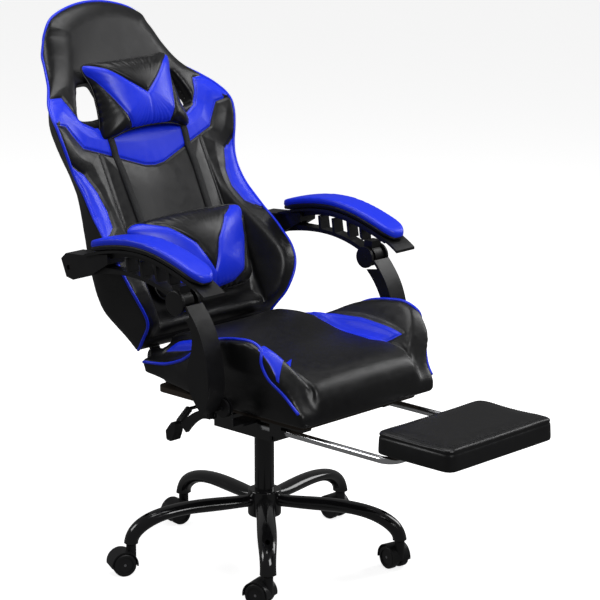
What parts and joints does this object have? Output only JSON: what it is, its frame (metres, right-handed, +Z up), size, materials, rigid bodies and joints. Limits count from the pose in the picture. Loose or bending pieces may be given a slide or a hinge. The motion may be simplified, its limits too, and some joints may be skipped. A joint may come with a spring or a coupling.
{
  "type": "gaming chair",
  "caption": "Reclining swivel chair with bucket seat, winged backrest with pillows, linked armrests, sliding footrest, gas lift and a star base on casters.",
  "frame": {"origin": "on the floor, on the gas lift's axis", "axes": "+Z up, -Y is the way the sitter faces, +X is the sitter's left"},
  "size_m": [0.6633, 1.2589, 1.2003],
  "materials": {
    "black_leather": "smooth satin",
    "blue_leather": "smooth satin",
    "black_steel": "gloss powder coat",
    "black_nylon": "fine moulded grain",
    "caster_tread": "matte",
    "zinc_steel": "zinc plated",
    "chrome": "polished",
    "plywood": "raw, dark stained"
  },
  "bodies": {
    "base": {"base_hub": "black_steel", "base_leg_1": "black_steel", "base_leg_2": "black_steel", "base_leg_3": "black_steel", "base_leg_4": "black_steel", "base_leg_5": "black_steel", "column_bushing": "black_nylon", "column_tube": "black_steel", "leg_end_sockets": "black_nylon"},
    "lift": {"lift_piston": "chrome"},
    "height_lever": {"height_lever_bellows": "black_nylon", "height_lever_paddle": "black_nylon", "height_lever_rod": "black_steel"},
    "recline_lever": {"recline_lever": "black_nylon"},
    "footrest_frame": {"footrest_rails": "chrome", "rail_end_caps": "black_nylon"},
    "footrest_rest": {"footrest_board": "plywood", "footrest_pad": "black_leather", "footrest_clips": "black_steel"},
    "back": {"back_frame": "black_steel", "back_pad": "black_leather", "back_wing_left": "black_leather", "back_wing_right": "black_leather", "head_pillow": "black_leather", "lumbar_pillow": "black_leather"},
    "post_left": {"arm_post_left": "black_nylon"},
    "arm_left": {"arm_frame_left": "black_nylon", "arm_knob_left": "black_nylon", "arm_pad_left": "blue_leather"},
    "post_right": {"arm_post_right": "black_nylon"},
    "arm_right": {"arm_frame_right": "black_nylon", "arm_knob_right": "black_nylon", "arm_pad_right": "blue_leather"},
    "caster_1": {"caster_hood_1": "black_nylon", "caster_pins_1": "zinc_steel"},
    "wheels_1": {"caster_wheels_1": "caster_tread"},
    "caster_2": {"caster_hood_2": "black_nylon", "caster_pins_2": "zinc_steel"},
    "wheels_2": {"caster_wheels_2": "caster_tread"},
    "caster_3": {"caster_hood_3": "black_nylon", "caster_pins_3": "zinc_steel"},
    "wheels_3": {"caster_wheels_3": "caster_tread"},
    "caster_4": {"caster_hood_4": "black_nylon", "caster_pins_4": "zinc_steel"},
    "wheels_4": {"caster_wheels_4": "caster_tread"},
    "caster_5": {"caster_hood_5": "black_nylon", "caster_pins_5": "zinc_steel"},
    "wheels_5": {"caster_wheels_5": "caster_tread"},
    "seat": {"footrest_guides": "black_steel", "lever_bracket": "black_steel", "mechanism_bolts": "zinc_steel", "mechanism_housing": "black_steel", "post_mounts": "black_steel", "recliner_brackets": "black_steel", "recliner_pins": "zinc_steel", "recliner_springs": "zinc_steel", "seat_board": "plywood", "seat_bolster_left": "black_leather", "seat_bolster_right": "black_leather", "seat_cushion": "black_leather"}
  },
  "joints": [
    {"name": "gas_lift", "type": "slide", "parent": "base", "child": "lift", "axis": [0, 0, 1], "range_m": [0, 0.08]},
    {"name": "seat_swivel", "type": "hinge", "parent": "lift", "child": "seat", "pos_m": [0, 0, 0.33], "axis": [0, 0, 1], "continuous": true},
    {"name": "recline", "type": "hinge", "parent": "seat", "child": "back", "pos_m": [0, 0.185, 0.455], "axis": [-1, 0, 0], "range_deg": [-18, 30]},
    {"name": "arm_left_hinge", "type": "hinge", "parent": "back", "child": "arm_left", "pos_m": [0.295, 0.276, 0.673], "axis": [-1, 0, 0], "range_deg": [-30, 18]},
    {"name": "post_left_hinge", "type": "hinge", "parent": "seat", "child": "post_left", "pos_m": [0.268, -0.144, 0.432], "axis": [-1, 0, 0], "range_deg": [-18, 30]},
    {"name": "arm_right_hinge", "type": "hinge", "parent": "back", "child": "arm_right", "pos_m": [-0.295, 0.276, 0.673], "axis": [-1, 0, 0], "range_deg": [-30, 18]},
    {"name": "post_right_hinge", "type": "hinge", "parent": "seat", "child": "post_right", "pos_m": [-0.268, -0.144, 0.432], "axis": [-1, 0, 0], "range_deg": [-18, 30]},
    {"name": "footrest_slide", "type": "slide", "parent": "seat", "child": "footrest_frame", "axis": [0, 1, 0], "range_m": [0, 0.125]},
    {"name": "footrest_flip", "type": "hinge", "parent": "footrest_frame", "child": "footrest_rest", "pos_m": [0, -0.52, 0.372], "axis": [1, 0, 0], "range_deg": [0, 180]},
    {"name": "height_lever_lift", "type": "hinge", "parent": "seat", "child": "height_lever", "pos_m": [-0.062, 0.04, 0.376], "axis": [0, 1, 0], "range_deg": [0, 3], "stiffness_Nm_per_rad": 30, "springref_deg": -2.86},
    {"name": "recline_lever_lift", "type": "hinge", "parent": "seat", "child": "recline_lever", "pos_m": [-0.248, -0.08, 0.4], "axis": [1, 0, 0], "range_deg": [0, 15], "stiffness_Nm_per_rad": 1.5, "springref_deg": -17.19},
    {"name": "caster_1_swivel", "type": "hinge", "parent": "base", "child": "caster_1", "pos_m": [-0.21496, -0.22337, 0.06], "axis": [0, 0, 1], "continuous": true},
    {"name": "caster_1_roll", "type": "hinge", "parent": "caster_1", "child": "wheels_1", "pos_m": [-0.22047, -0.20415, 0.026], "axis": [-0.9613, -0.2756, 0], "continuous": true},
    {"name": "caster_2_swivel", "type": "hinge", "parent": "base", "child": "caster_2", "pos_m": [0.14601, -0.27346, 0.06], "axis": [0, 0, 1], "continuous": true},
    {"name": "caster_2_roll", "type": "hinge", "parent": "caster_2", "child": "wheels_2", "pos_m": [0.14983, -0.25383, 0.026], "axis": [-0.9816, 0.1908, 0], "continuous": true},
    {"name": "caster_3_swivel", "type": "hinge", "parent": "base", "child": "caster_3", "pos_m": [0.3052, 0.05436, 0.06], "axis": [0, 0, 1], "continuous": true},
    {"name": "caster_3_roll", "type": "hinge", "parent": "caster_3", "child": "wheels_3", "pos_m": [0.30555, 0.07436, 0.026], "axis": [-0.9998, 0.0175, 0], "continuous": true},
    {"name": "caster_4_swivel", "type": "hinge", "parent": "base", "child": "caster_4", "pos_m": [0.04261, 0.30706, 0.06], "axis": [0, 0, 1], "continuous": true},
    {"name": "caster_4_roll", "type": "hinge", "parent": "caster_4", "child": "wheels_4", "pos_m": [0.0228, 0.30984, 0.026], "axis": [-0.1392, -0.9903, 0], "continuous": true},
    {"name": "caster_5_swivel", "type": "hinge", "parent": "base", "child": "caster_5", "pos_m": [-0.27886, 0.13541, 0.06], "axis": [0, 0, 1], "continuous": true},
    {"name": "caster_5_roll", "type": "hinge", "parent": "caster_5", "child": "wheels_5", "pos_m": [-0.29684, 0.14418, 0.026], "axis": [-0.4384, -0.8988, 0], "continuous": true}
  ],
  "couplings": [
    {"joint": "arm_left_hinge", "follows": "recline", "ratio": -1},
    {"joint": "post_left_hinge", "follows": "recline", "ratio": 1},
    {"joint": "arm_right_hinge", "follows": "recline", "ratio": -1},
    {"joint": "post_right_hinge", "follows": "recline", "ratio": 1}
  ]
}
